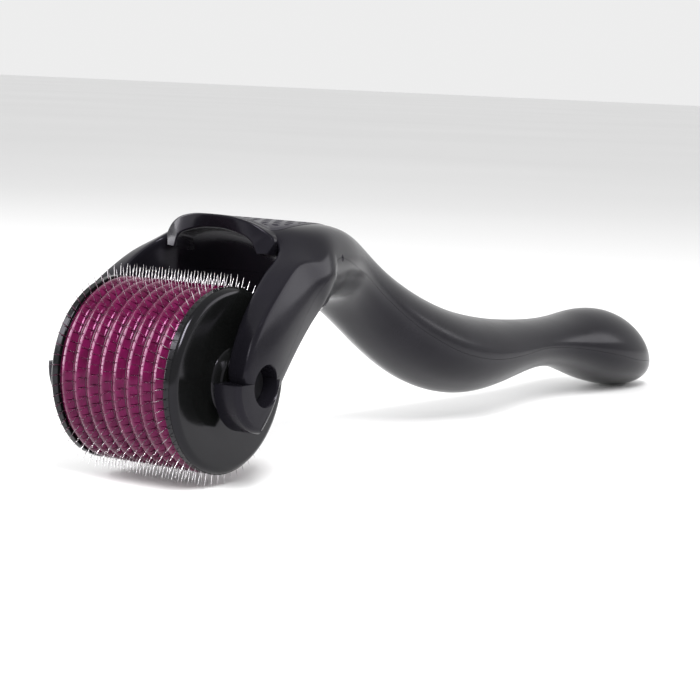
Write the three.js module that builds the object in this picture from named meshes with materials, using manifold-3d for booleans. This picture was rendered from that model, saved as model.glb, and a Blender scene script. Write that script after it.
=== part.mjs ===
// Derma roller: a needle drum that spins in the fork of an S-curved two-shell handle.
// Units are millimetres. X runs from the drum to the tail, Y is the drum's axis, +Z is up.
// The part lies as it does on a table, on the needle tips and on the tail's underside.
// Everything is drawn with the drum's axle through (0, 0, 0), and moved at the end so that the
// origin is the middle of the footprint.

import * as THREE from 'three';
import Module from 'manifold-3d';

// ---------- driving dimensions ----------

const DRUM_RADIUS = 11;
const NEEDLE_LENGTH = 1.5;
const NEEDLE_ROWS = 9;
const NEEDLES_PER_ROW = 60;
const NEEDLE_BASE_WIDTH = 0.34;
const ROW_PITCH = 1.925;
const DISC_THICKNESS = 0.3;
const STACK_GAP = 0.1;
const END_CAP_FACE = 9.2;
const END_CAP_ROUND = 1;
const END_CAP_ROUND_STEPS = 4;
const HUB_FACE = 10.6;
const HUB_RADIUS = 3.9;
const CORE_RADIUS = 4.2;
const CORE_CLEARANCE = 0.2;
const JOURNAL_RADIUS = 2.2;
const JOURNAL_CLEARANCE = 0.25;
const JOURNAL_END = 12.1;

const BOSS_RADIUS = 5.6;
const BOSS_INNER_FACE = 10.9;
const BOSS_OUTER_FACE = 14.3;
const BOSS_ROUND_END = THREE.MathUtils.degToRad(264);
const BOSS_BACK_CONTROL = [2.6, -2.8];
const BOSS_BACK_X = 3.15;
const BOSS_CURVE_SEGMENTS = 14;
const AXLE_HOLE_RADIUS = 2.3;
const SPOT_FACE_RADIUS = 6.4;
const SPOT_FACE_DEPTH = 2;
const THRUST_FACE_START = 8.2;

const SEAM_GAP = 0.4;
const SEAM_LEVEL = 0.5;
const FIT_GAP = 0.3;
const PAD_THICKNESS = 0.7;
const PAD_CURVE_POINTS = 44;
const PAD_CUT_BOTTOM = 9;
const PAD_CUT_HEIGHT = 25;
const PIN_HEAD_RADIUS = 2.4;
const PIN_HEAD_THICKNESS = 1.4;
const PIN_SHANK_RADIUS = 1.3;
const PIN_LENGTH = 7;
const PIN_X = 19.8;
const PIN_Y = 5;
const PIN_FACE_Z = 7.35;
const PIN_TILT = THREE.MathUtils.degToRad(-8);
const PIN_SEGMENTS = 24;
const PIN_POCKET_OVERRUN = 3;

const ROUND_SEGMENTS = 40;
const BORE_SEGMENTS = 32;
const FAR = 200;

// ---------- the handle's outer surface, as a control cage ----------

// A cross-section has 20 points: 0 is the -Y side, 5 the top, 10 the +Y side and 15 the bottom.
const SECTION_POINTS = 20;
const QUARTER = SECTION_POINTS / 4;
const HALF = SECTION_POINTS / 2;

// Quarter outlines from the side (1, 0) to the middle (0, 1): round for the handle, boxy for the head.
const ROUND_QUARTER = [[1, 0], [0.951, 0.309], [0.809, 0.588], [0.588, 0.809], [0.309, 0.951], [0, 1]];
const HEAD_TOP_QUARTER = [[1, 0], [0.98, 0.45], [0.86, 0.86], [0.68, 1], [0.42, 0.99], [0, 0.98]];
const HEAD_BOTTOM_QUARTER = [[1, 0], [0.96, 0.38], [0.84, 0.72], [0.66, 0.95], [0.4, 1], [0, 1]];

// A smoothed ring of 20 points comes out this much smaller than its cage.
const CAGE_SWELL = 1 / 0.984;

// Sections from the tail to the head: x, z of the middle, tilt in degrees, half width,
// height above and below the middle, and how boxy the outline is (0 round, 1 head).
const SECTIONS = [
  { x: 123.4, z: -9.6, tilt: 0, width: 3.0, above: 2.7, below: 2.3, boxy: 0 },
  { x: 120.6, z: -8.6, tilt: 0, width: 5.8, above: 5.4, below: 3.9, boxy: 0 },
  { x: 114.5, z: -7.3, tilt: 2, width: 7.1, above: 7.4, below: 5.1, boxy: 0 },
  { x: 107.0, z: -6.1, tilt: 6, width: 7.1, above: 7.2, below: 4.8, boxy: 0 },
  { x: 99.6, z: -4.8, tilt: 8, width: 6.0, above: 5.1, below: 3.7, boxy: 0 },
  { x: 92.2, z: -3.8, tilt: 4, width: 5.1, above: 3.9, below: 3.2, boxy: 0 },
  { x: 84.8, z: -3.4, tilt: 0, width: 5.2, above: 3.8, below: 3.7, boxy: 0 },
  { x: 75.8, z: -3.7, tilt: -4, width: 6.1, above: 4.8, below: 4.9, boxy: 0 },
  { x: 66.9, z: -3.4, tilt: -12, width: 6.8, above: 5.8, below: 6.0, boxy: 0 },
  { x: 57.5, z: -1.6, tilt: -22, width: 6.8, above: 6.0, below: 5.7, boxy: 0 },
  { x: 48.0, z: 2.1, tilt: -28, width: 5.9, above: 5.6, below: 4.9, boxy: 0 },
  { x: 39.5, z: 6.7, tilt: -28, width: 5.4, above: 4.8, below: 3.8, boxy: 0.15 },
  { x: 32.5, z: 10.3, tilt: -20, width: 6.4, above: 4.6, below: 3.3, boxy: 0.5 },
  { x: 26.0, z: 12.1, tilt: -6, width: 9.0, above: 4.6, below: 4.1, boxy: 1 },
  { x: 20.5, z: 12.6, tilt: 8, width: 11.2, above: 5.15, below: 5.0, boxy: 1 },
];
const TAIL_TIP = [124.9, 0, -9.8];

// The rings at the throat, -Y half only: side to top middle, then lower side to bottom middle.
// The first holds the valley behind the arm, the second the arm's back edge, the third the front.
const THROAT_RINGS = [
  {
    top: [[17.3, -11.9, 12.9], [16.9, -11.7, 14.9], [16.2, -10.6, 16.6], [14.8, -8.6, 17.3],
      [14.0, -6.0, 17.6], [13.8, 0, 17.85]],
    bottom: [[17.2, -11.6, 10.7], [17.9, -10.3, 8.4], [18.4, -8.7, 7.2], [18.8, -6.2, 6.9], [18.8, 0, 6.9]],
  },
  {
    top: [[15.9, -12.9, 12.5], [15.2, -12.4, 14.2], [13.7, -11.2, 15.5], [12.2, -8.4, 16.9],
      [12.0, -5.8, 17.6], [12, 0, 17.95]],
    bottom: [[15.9, -12.6, 10.5], [16.7, -11.0, 7.6], [16.8, -9.1, 6.6], [17.4, -6.2, 6.3], [17.4, 0, 6.3]],
  },
  {
    top: [[13.0, -13.4, 11.9], [12.3, -12.5, 13.8], [11.0, -11.2, 14.9], [10.2, -8.3, 16.0],
      [10.2, -5.6, 17.4], [10.2, 0, 18.0]],
    bottom: [[14.3, -13.2, 9.8], [14.8, -11.6, 7.7], [14, -9.4, 7], [15.4, -6.2, 5.9], [15.6, 0, 5.9]],
  },
];

// The roof of the throat's recess, front and back, and the foot of its wall.
const WALL_ROWS = [
  [[10.2, -7.9, 14.6], [10.3, -5.5, 16.0], [10.3, 0, 16.8]],
  [[12.0, -8.5, 13.0], [12.4, -5.6, 14.8], [12.4, 0, 15.6]],
  [[13.7, -9.6, 8.6], [14.9, -6.2, 7.4], [14.9, 0, 7.4]],
];

// The visor-like lip over the recess, from its middle out to a foot: its top edge in front, then
// the edge underneath. The strip between them runs back into the head, falling as it goes.
const LIP_TOP = [
  [6.9, 0, 18.75], [7.0, 2.2, 18.68], [7.4, 3.9, 18.42], [7.9, 5.4, 18.0], [8.5, 6.8, 17.25],
  [9.1, 7.8, 16.4], [9.0, 8.0, 15.6], [8.5, 7.6, 14.4],
];
const LIP_UNDER = [
  [8.0, 0, 16.95], [7.95, 1.6, 16.88], [7.9, 3.2, 16.6], [7.85, 4.5, 16.25], [7.9, 5.3, 15.85],
  [8.0, 5.7, 15.3], [8.1, 5.9, 14.8], [8.2, 6.1, 14.3],
];
const LIP_BACK = 13.2;
const LIP_FALL = 0.9;
const LIP_STEPS = 14;

// Arm rings from the throat to the axle: front ridge and back edge (x, z), both again on the
// inner side, and the y of the inner face, the ridge and the outer face.
const ARM_RINGS = [
  { front: [9.0, 13.9], innerFront: [7.8, 14.3], back: [12.6, 7.5], innerBack: [13.2, 6.3],
    inner: 9.5, ridge: 12.1, outer: 13.5 },
  { front: [6.2, 12.5], innerFront: [4.8, 12.8], back: [9.6, 5.3], innerBack: [10.0, 4.6],
    inner: 9.8, ridge: 12.7, outer: 13.9 },
  { front: [2.6, 10.2], innerFront: [2.2, 10.4], back: [5.9, 1.9], innerBack: [6.1, 1.6],
    inner: 10.1, ridge: 13.4, outer: 14.4 },
  { front: [-1.2, 7.2], innerFront: [-0.9, 7.2], back: [3.6, -0.5], innerBack: [3.6, -0.5],
    inner: 10.5, ridge: 13.9, outer: 14.7 },
  { front: [-3.8, 3.7], innerFront: [-2.8, 3.9], back: [1.7, -3.0], innerBack: [1.7, -3.0],
    inner: 10.8, ridge: 14.1, outer: 14.6 },
  { front: [-4.5, 0.6], innerFront: [-3.8, 0.6], back: [0.1, -5.0], innerBack: [0.1, -5.0],
    inner: 10.9, ridge: 14.1, outer: 14.5 },
];
const ARM_BACK_ROUND = 1;
const ARM_TIP_DROP = [-0.3, 0, -0.6];

// The seam between the shells, seen from the side (x, z): level across the axle holes, up the
// back of the arms, then along the middle of the handle's side.
const SEAM_POINTS = [
  [-12, 0.5], [-6, 0.5], [-0.8, 0.5], [1.8, 0.6], [3.7, 1.7], [5.3, 3.6], [8.2, 7.0], [11.4, 9.9],
  [15.4, 12.6], [18.6, 13.7], [22, 13.2], [26, 12.1], [32.5, 10.2], [39.5, 6.6], [48, 2.1],
  [57.5, -1.6], [66.9, -3.4], [75.8, -3.7], [84.8, -3.4], [92.2, -3.9], [99.6, -4.9], [107, -6.2],
  [114.5, -7.6], [130, -9],
];
const SEAM_STEPS = 70;

// The thumb pad's outline from above, +Y half (x, y), from the lip end to the handle end.
const PAD_OUTLINE = [
  [8.3, 0], [8.7, 3.2], [9.9, 5.7], [12, 7], [15, 7.1], [20, 6.5], [25, 5.1], [29.4, 2.9], [30.6, 0],
];

// ---------- solids ----------

const wasm = await Module();
wasm.setup();

function solidFromTriangles(positions, triangles) {
  return new wasm.Manifold(new wasm.Mesh({
    numProp: 3,
    vertProperties: new Float32Array(positions),
    triVerts: new Uint32Array(triangles),
  }));
}

// Joins a three.js geometry's coincident corners and makes a solid of it.
function solidFromGeometry(geometry) {
  const source = geometry.index ? geometry.toNonIndexed() : geometry;
  const corners = source.getAttribute('position');
  const seen = new Map();
  const positions = [];
  const triangles = [];
  for (let i = 0; i < corners.count; i += 1) {
    const point = [corners.getX(i), corners.getY(i), corners.getZ(i)];
    const key = point.map((value) => Math.round(value * 1e4)).join();
    if (!seen.has(key)) {
      seen.set(key, positions.length / 3);
      positions.push(...point);
    }
    triangles.push(seen.get(key));
  }
  const kept = [];
  for (let i = 0; i < triangles.length; i += 3) {
    const [a, b, c] = triangles.slice(i, i + 3);
    if (a !== b && b !== c && c !== a) kept.push(a, b, c);
  }
  return solidFromTriangles(positions, kept);
}

function geometryFromSolid(solid) {
  const mesh = solid.getMesh();
  const positions = [];
  for (let i = 0; i < mesh.vertProperties.length; i += mesh.numProp) {
    positions.push(...mesh.vertProperties.slice(i, i + 3));
  }
  const geometry = new THREE.BufferGeometry();
  geometry.setAttribute('position', new THREE.Float32BufferAttribute(positions, 3));
  geometry.setIndex([...mesh.triVerts]);
  geometry.computeVertexNormals();
  return geometry;
}

// A side-view outline (x, z) pulled along Y.
function barAlongY(shape, yLow, yHigh, curveSegments = 12) {
  const geometry = new THREE.ExtrudeGeometry(shape, {
    depth: yHigh - yLow, bevelEnabled: false, curveSegments,
  });
  geometry.rotateX(Math.PI / 2);
  geometry.translate(0, yHigh, 0);
  return geometry;
}

// A profile of [radius, y] points turned round the drum's axis.
function turnedAboutY(profile, segments = ROUND_SEGMENTS) {
  return new THREE.LatheGeometry(profile.map(([radius, y]) => new THREE.Vector2(radius, y)), segments);
}

function cylinderAlongY(radius, yLow, yHigh, segments = BORE_SEGMENTS) {
  const geometry = new THREE.CylinderGeometry(radius, radius, yHigh - yLow, segments);
  geometry.translate(0, (yLow + yHigh) / 2, 0);
  return geometry;
}

function mirrorY([x, y, z]) {
  return [x, -y, z];
}

function mix(from, to, amount) {
  return from.map((value, i) => value * (1 - amount) + to[i] * amount);
}

// ---------- control cage ----------

function handleSection({ x, z, tilt, width, above, below, boxy }) {
  const angle = THREE.MathUtils.degToRad(tilt);
  const points = [];
  for (let k = 0; k < SECTION_POINTS; k += 1) {
    const isTop = k <= HALF;
    const across = isTop ? k : SECTION_POINTS - k;
    const step = Math.min(across, HALF - across);
    const side = across < QUARTER ? -1 : 1;
    const boxyQuarter = isTop ? HEAD_TOP_QUARTER : HEAD_BOTTOM_QUARTER;
    const [out, up] = mix(ROUND_QUARTER[step], boxyQuarter[step], boxy);
    const height = (isTop ? above : -below) * up * CAGE_SWELL;
    const y = side * width * out * CAGE_SWELL;
    points.push([x - Math.sin(angle) * height, y, z + Math.cos(angle) * height]);
  }
  return points;
}

function throatSection({ top, bottom }) {
  const points = [];
  top.forEach((point, i) => {
    points[i] = point;
    points[HALF - i] = mirrorY(point);
  });
  bottom.forEach((point, i) => {
    points[SECTION_POINTS - 1 - i] = point;
    points[HALF + 1 + i] = mirrorY(point);
  });
  return points;
}

// Ten points round an arm: outer side, over the ridge to the inner face, and round the back.
function armSection({ front, innerFront, back, innerBack, inner, ridge, outer }) {
  const middle = (inner + outer) / 2;
  const at = (y, [x, z]) => [x, -y, z];
  return [
    at(outer, mix(front, back, 0.5)),
    at(ridge, front),
    at(middle, mix(front, innerFront, 0.5)),
    at(inner, innerFront),
    at(inner, mix(innerFront, innerBack, 0.25)),
    at(inner, mix(innerFront, innerBack, 0.5)),
    at(inner, mix(innerFront, innerBack, 0.75)),
    at(inner, innerBack),
    at(middle, mix(back, innerBack, 0.5)),
    at(outer - ARM_BACK_ROUND, back),
  ];
}
const ARM_RIDGES = [1, 3, 7, 9];

// The cage's points, its faces, and the edges that stay crisp.
function handleCage() {
  const points = [];
  const faces = [];
  const creases = [];
  const add = (list) => list.map((point) => points.push(point) - 1);
  const addFace = (face, flip) => faces.push(flip ? face.reverse() : face);
  const crease = (line) => line.slice(1).forEach((index, i) => creases.push([line[i], index]));
  const strip = (ringA, ringB, flip = false) => {
    ringA.forEach((_, k) => {
      const next = (k + 1) % ringA.length;
      addFace([ringA[k], ringB[k], ringB[next], ringA[next]], flip);
    });
  };
  const pick = (ring, places) => places.map((k) => ring[k]);

  const rings = [
    ...SECTIONS.map(handleSection),
    ...THROAT_RINGS.map(throatSection),
  ].map(add);
  const [tip] = add([TAIL_TIP]);
  for (let k = 0; k < SECTION_POINTS; k += 2) {
    addFace([tip, rings[0][k], rings[0][k + 1], rings[0][(k + 2) % SECTION_POINTS]]);
  }
  for (let i = 1; i < rings.length; i += 1) strip(rings[i - 1], rings[i]);

  const [valley, armBack, front] = rings.slice(-3);
  [[1, 0, 19], [9, 10, 11]].forEach((places) => crease(pick(valley, places)));
  [[0, 19], [10, 11]].forEach((places) => crease(pick(armBack, places)));

  const walls = WALL_ROWS.map((row) => add([...row, mirrorY(row[1]), mirrorY(row[0])]));
  const rows = [pick(front, [3, 4, 5, 6, 7]), ...walls, pick(front, [17, 16, 15, 14, 13])];
  crease(rows[0]);
  crease(rows[1]);
  for (let r = 1; r < rows.length; r += 1) {
    for (let i = 0; i < 4; i += 1) {
      addFace([rows[r - 1][i], rows[r][i], rows[r][i + 1], rows[r - 1][i + 1]]);
    }
  }

  const armRoots = [
    [...pick(front, [0, 1, 2, 3]), ...walls.map((row) => row[0]), ...pick(front, [17, 18, 19])],
    [...pick(front, [10, 9, 8, 7]), ...walls.map((row) => row[4]), ...pick(front, [13, 12, 11])],
  ];
  armRoots.forEach((root, armIndex) => {
    const flip = armIndex === 1;
    let ring = root;
    ARM_RINGS.forEach((data) => {
      const section = armSection(data).map((point) => (flip ? mirrorY(point) : point));
      const next = add(section);
      strip(ring, next, flip);
      pick(ring, ARM_RIDGES).forEach((index, i) => crease([index, next[ARM_RIDGES[i]]]));
      ring = next;
    });
    const middle = [0, 1, 2].map((axis) => {
      const total = ring.reduce((sum, index) => sum + points[index][axis], 0);
      return total / ring.length + ARM_TIP_DROP[axis];
    });
    const [end] = add([middle]);
    for (let k = 0; k < ring.length; k += 2) {
      addFace([end, ring[(k + 2) % ring.length], ring[k + 1], ring[k]], flip);
    }
  });
  return { points, faces, creases };
}

// One Catmull-Clark step. The cage's own points keep their numbers, and creased edges stay put.
function subdivide({ points, faces, creases = [] }) {
  const average = (list) => [0, 1, 2].map((axis) => (
    list.reduce((sum, point) => sum + point[axis], 0) / list.length
  ));
  const keyOf = (a, b) => Math.min(a, b) * points.length + Math.max(a, b);
  const creased = new Set(creases.map(([a, b]) => keyOf(a, b)));
  const faceMiddles = faces.map((face) => average(face.map((index) => points[index])));
  const edges = new Map();
  const around = points.map(() => ({ faces: [], edges: [] }));
  faces.forEach((face, f) => {
    face.forEach((a, i) => {
      const b = face[(i + 1) % face.length];
      const key = keyOf(a, b);
      if (!edges.has(key)) {
        edges.set(key, { ends: [a, b], faces: [], index: points.length + edges.size });
        around[a].edges.push(key);
        around[b].edges.push(key);
      }
      edges.get(key).faces.push(f);
      around[a].faces.push(f);
    });
  });
  const middleOf = (key) => average(edges.get(key).ends.map((index) => points[index]));
  const moved = points.map((point, i) => {
    const crisp = around[i].edges.filter((key) => creased.has(key));
    if (crisp.length > 2) return point;
    if (crisp.length === 2) {
      const along = average(crisp.map(middleOf));
      return point.map((value, axis) => (value + along[axis]) / 2);
    }
    const count = around[i].faces.length;
    const faceAverage = average(around[i].faces.map((f) => faceMiddles[f]));
    const edgeAverage = average(around[i].edges.map(middleOf));
    return point.map((value, axis) => (
      (faceAverage[axis] + 2 * edgeAverage[axis] + (count - 3) * value) / count
    ));
  });
  const edgePoints = [...edges].map(([key, edge]) => (creased.has(key) ? middleOf(key) : average([
    ...edge.ends.map((index) => points[index]),
    ...edge.faces.map((f) => faceMiddles[f]),
  ])));
  const firstFacePoint = points.length + edges.size;
  const edgePointOf = (a, b) => edges.get(keyOf(a, b)).index;
  const quads = faces.flatMap((face, f) => face.map((a, i) => {
    const after = face[(i + 1) % face.length];
    const before = face[(i + face.length - 1) % face.length];
    return [a, edgePointOf(a, after), firstFacePoint + f, edgePointOf(before, a)];
  }));
  return { points: [...moved, ...edgePoints, ...faceMiddles], faces: quads };
}

// The cage smoothed once, with its points drawn on to the smooth surface by a second step.
function headAndHandleSolid() {
  const smooth = subdivide(handleCage());
  const finer = subdivide(smooth);
  const positions = finer.points.slice(0, smooth.points.length).flat();
  const triangles = smooth.faces.flatMap(([a, b, c, d]) => [a, c, b, a, d, c]);
  return solidFromTriangles(positions, triangles);
}

// A curve through the points and on through their mirror images on the other side.
function fullWidthCurve(halfPoints) {
  const half = new THREE.CatmullRomCurve3(
    halfPoints.map((point) => new THREE.Vector3(...point)), false, 'catmullrom', 0.5,
  ).getPoints(LIP_STEPS).map((point) => point.toArray());
  return [...half.slice(1).reverse().map(mirrorY), ...half];
}

function lipSolid() {
  const outer = fullWidthCurve(LIP_TOP);
  const under = fullWidthCurve(LIP_UNDER);
  const atBack = ([, y, z]) => [LIP_BACK, y, z - LIP_FALL];
  const lines = [outer, outer.map(atBack), under.map(atBack), under];
  const count = outer.length;
  const at = (line, i) => (line % lines.length) * count + i;
  const triangles = [];
  lines.forEach((_, line) => {
    for (let i = 1; i < count; i += 1) {
      triangles.push(at(line, i - 1), at(line + 1, i - 1), at(line + 1, i));
      triangles.push(at(line, i - 1), at(line + 1, i), at(line, i));
    }
  });
  const last = count - 1;
  triangles.push(at(0, 0), at(2, 0), at(1, 0), at(0, 0), at(3, 0), at(2, 0));
  triangles.push(at(0, last), at(1, last), at(2, last), at(0, last), at(2, last), at(3, last));
  return solidFromTriangles(lines.flat(2), triangles);
}

// ---------- handle pieces ----------

function seamRegion(isUpper) {
  const curve = new THREE.SplineCurve(SEAM_POINTS.map(([x, z]) => new THREE.Vector2(x, z)));
  const shift = isUpper ? SEAM_GAP / 2 : -SEAM_GAP / 2;
  const line = curve.getPoints(SEAM_STEPS).map((point) => new THREE.Vector2(point.x, point.y + shift));
  const farZ = isUpper ? FAR / 2 : -FAR / 2;
  line.push(new THREE.Vector2(line[line.length - 1].x, farZ));
  line.push(new THREE.Vector2(line[0].x, farZ));
  return solidFromGeometry(barAlongY(new THREE.Shape(line), -FAR / 4, FAR / 4));
}

// A round boss below the seam's level part, drawn in where the arm's back edge runs on into it.
function bossSolid(yLow, yHigh) {
  const first = Math.PI - Math.asin(SEAM_LEVEL / BOSS_RADIUS);
  const shape = new THREE.Shape();
  shape.moveTo(BOSS_RADIUS * Math.cos(first), SEAM_LEVEL);
  shape.absarc(0, 0, BOSS_RADIUS, first, BOSS_ROUND_END, false);
  shape.quadraticCurveTo(...BOSS_BACK_CONTROL, BOSS_BACK_X, SEAM_LEVEL);
  shape.closePath();
  return solidFromGeometry(barAlongY(shape, yLow, yHigh, BOSS_CURVE_SEGMENTS));
}

function padRegion(grow) {
  const half = PAD_OUTLINE.map(([x, y], i) => {
    const isEnd = i === 0 || i === PAD_OUTLINE.length - 1;
    const along = x + (x < PIN_X ? -grow : grow);
    return new THREE.Vector2(along, isEnd ? 0 : y + grow);
  });
  const other = half.slice(1, -1).reverse().map((point) => new THREE.Vector2(point.x, -point.y));
  const curve = new THREE.SplineCurve([...half, ...other, half[0]]);
  const shape = new THREE.Shape(curve.getPoints(PAD_CURVE_POINTS).slice(0, -1));
  const geometry = new THREE.ExtrudeGeometry(shape, { depth: PAD_CUT_HEIGHT, bevelEnabled: false });
  geometry.translate(0, 0, PAD_CUT_BOTTOM);
  return solidFromGeometry(geometry);
}

function placedPin(side, grow) {
  const head = PIN_HEAD_RADIUS + grow;
  const shank = PIN_SHANK_RADIUS + grow;
  const low = grow > 0 ? -PIN_POCKET_OVERRUN : 0;
  const geometry = turnedAboutY([
    [0, low], [head, low], [head, PIN_HEAD_THICKNESS + grow],
    [shank, PIN_HEAD_THICKNESS + grow], [shank, PIN_LENGTH + grow], [0, PIN_LENGTH + grow],
  ], PIN_SEGMENTS);
  geometry.rotateX(Math.PI / 2);
  geometry.rotateY(PIN_TILT);
  geometry.translate(PIN_X, side * PIN_Y, PIN_FACE_Z);
  return geometry;
}

const whole = headAndHandleSolid().add(lipSolid());
const padPocket = padRegion(FIT_GAP).subtract(whole.translate([0, 0, -PAD_THICKNESS - FIT_GAP]));
const padSolid = padRegion(0).intersect(whole).subtract(whole.translate([0, 0, -PAD_THICKNESS]));

// Takes the axle holes, the flat faces round them and the pin pockets out of a shell.
function machined(shell) {
  let result = shell;
  [-1, 1].forEach((side) => {
    const y = (from, to) => (side < 0 ? [-to, -from] : [from, to]);
    const hole = cylinderAlongY(AXLE_HOLE_RADIUS, ...y(END_CAP_FACE, BOSS_OUTER_FACE + 1));
    const face = cylinderAlongY(
      SPOT_FACE_RADIUS, ...y(BOSS_OUTER_FACE, BOSS_OUTER_FACE + SPOT_FACE_DEPTH), ROUND_SEGMENTS,
    );
    const thrustFace = cylinderAlongY(
      SPOT_FACE_RADIUS, ...y(THRUST_FACE_START, BOSS_INNER_FACE), ROUND_SEGMENTS,
    );
    [hole, face, thrustFace, placedPin(side, FIT_GAP)].forEach((cutter) => {
      result = result.subtract(solidFromGeometry(cutter));
    });
  });
  return result;
}

const upperShell = machined(whole.intersect(seamRegion(true)).subtract(padPocket));
const lowerHalf = whole.intersect(seamRegion(false));
const bosses = bossSolid(-BOSS_OUTER_FACE, -BOSS_INNER_FACE)
  .add(bossSolid(BOSS_INNER_FACE, BOSS_OUTER_FACE))
  .intersect(seamRegion(false));
const lowerShell = machined(lowerHalf.add(bosses));

// ---------- drum pieces ----------

const stackHalf = (NEEDLE_ROWS - 1) / 2 * ROW_PITCH + DISC_THICKNESS / 2;

function hexagonHole() {
  const hole = new THREE.Path();
  const radius = CORE_RADIUS + CORE_CLEARANCE;
  for (let i = 0; i < 6; i += 1) {
    const angle = (-i * Math.PI) / 3;
    const point = [radius * Math.cos(angle), radius * Math.sin(angle)];
    if (i === 0) hole.moveTo(...point);
    else hole.lineTo(...point);
  }
  hole.closePath();
  return hole;
}

// One row of needles on its thin carrier disc. Alternate rows are turned by half a needle.
function needleDisc(row) {
  const shape = new THREE.Shape();
  const step = (2 * Math.PI) / NEEDLES_PER_ROW;
  const halfBase = NEEDLE_BASE_WIDTH / 2 / DRUM_RADIUS;
  const tipRadius = DRUM_RADIUS + NEEDLE_LENGTH;
  for (let i = 0; i < NEEDLES_PER_ROW; i += 1) {
    const angle = (i + (row % 2) / 2) * step;
    const outline = [
      [DRUM_RADIUS, angle - halfBase], [tipRadius, angle], [DRUM_RADIUS, angle + halfBase],
    ];
    outline.forEach(([radius, at], k) => {
      const point = [radius * Math.cos(at), radius * Math.sin(at)];
      if (i === 0 && k === 0) shape.moveTo(...point);
      else shape.lineTo(...point);
    });
  }
  shape.closePath();
  shape.holes.push(hexagonHole());
  const y = (row - (NEEDLE_ROWS - 1) / 2) * ROW_PITCH;
  return barAlongY(shape, y - DISC_THICKNESS / 2, y + DISC_THICKNESS / 2);
}

function spacer(index) {
  const shape = new THREE.Shape();
  shape.absarc(0, 0, DRUM_RADIUS, 0, Math.PI * 2, false);
  shape.holes.push(hexagonHole());
  const yLow = (index - (NEEDLE_ROWS - 1) / 2) * ROW_PITCH + DISC_THICKNESS / 2 + STACK_GAP;
  const yHigh = yLow + ROW_PITCH - DISC_THICKNESS - 2 * STACK_GAP;
  return barAlongY(shape, yLow, yHigh, ROUND_SEGMENTS / 2);
}

function endCap(side) {
  const inner = stackHalf + STACK_GAP;
  const bore = JOURNAL_RADIUS + JOURNAL_CLEARANCE;
  const corner = [];
  for (let i = 0; i <= END_CAP_ROUND_STEPS; i += 1) {
    const angle = (i / END_CAP_ROUND_STEPS) * (Math.PI / 2);
    corner.push([
      DRUM_RADIUS - END_CAP_ROUND * (1 - Math.cos(angle)),
      END_CAP_FACE - END_CAP_ROUND * (1 - Math.sin(angle)),
    ]);
  }
  const geometry = turnedAboutY([
    [bore, inner], [DRUM_RADIUS, inner], ...corner, [HUB_RADIUS, END_CAP_FACE], [HUB_RADIUS, HUB_FACE],
    [bore, HUB_FACE], [bore, inner],
  ]);
  if (side < 0) geometry.rotateX(Math.PI);
  return geometry;
}

// The core that the stack is threaded on: a hexagon between the caps, round journals beyond.
function spindleSolid() {
  const core = new THREE.CylinderGeometry(CORE_RADIUS, CORE_RADIUS, 2 * stackHalf, 6);
  core.rotateY(Math.PI / 6);
  return solidFromGeometry(core)
    .add(solidFromGeometry(cylinderAlongY(JOURNAL_RADIUS, -JOURNAL_END, JOURNAL_END)));
}

// ---------- scene graph ----------

const finishes = {
  gloss_black: { color: 0x1b1b1f, roughness: 0.18, metalness: 0 },
  soft_black: { color: 0x17171a, roughness: 0.6, metalness: 0 },
  spindle_grey: { color: 0x17171a, roughness: 0.5, metalness: 0 },
  clear_magenta: { color: 0xb0145e, roughness: 0.15, metalness: 0 },
  needle_steel: { color: 0xc9cbd0, roughness: 0.25, metalness: 1 },
};

const handle = new THREE.Group();
const drum = new THREE.Group();

function addPiece(group, name, geometry, finish) {
  const mesh = new THREE.Mesh(geometry, new THREE.MeshStandardMaterial(finishes[finish]));
  mesh.name = name;
  group.add(mesh);
}

addPiece(handle, 'upper_shell', geometryFromSolid(upperShell), 'gloss_black');
addPiece(handle, 'lower_shell', geometryFromSolid(lowerShell), 'gloss_black');
addPiece(handle, 'thumb_pad', geometryFromSolid(padSolid), 'soft_black');
addPiece(handle, 'joint_pin_left', placedPin(1, 0), 'gloss_black');
addPiece(handle, 'joint_pin_right', placedPin(-1, 0), 'gloss_black');

addPiece(drum, 'drum_spindle', geometryFromSolid(spindleSolid()), 'spindle_grey');
addPiece(drum, 'end_cap_left', endCap(1), 'gloss_black');
addPiece(drum, 'end_cap_right', endCap(-1), 'gloss_black');
for (let row = 0; row < NEEDLE_ROWS; row += 1) {
  addPiece(drum, `needle_disc_${row + 1}`, needleDisc(row), 'needle_steel');
}
for (let index = 0; index < NEEDLE_ROWS - 1; index += 1) {
  addPiece(drum, `spacer_${index + 1}`, spacer(index), 'clear_magenta');
}

const part = new THREE.Group();
part.add(handle, drum);
const box = new THREE.Box3().setFromObject(part, true);
part.position.set(-(box.min.x + box.max.x) / 2, 0, -box.min.z);
part.updateMatrixWorld(true);

export default part;
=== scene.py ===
# Derma roller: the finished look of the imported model.
# Shapes are drawn in millimetres from the drum's axle, as in the CAD source, and placed in metres.

import math

import bmesh
import bpy
import numpy as np
from mathutils import Matrix, Vector
from mathutils.bvhtree import BVHTree


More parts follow.
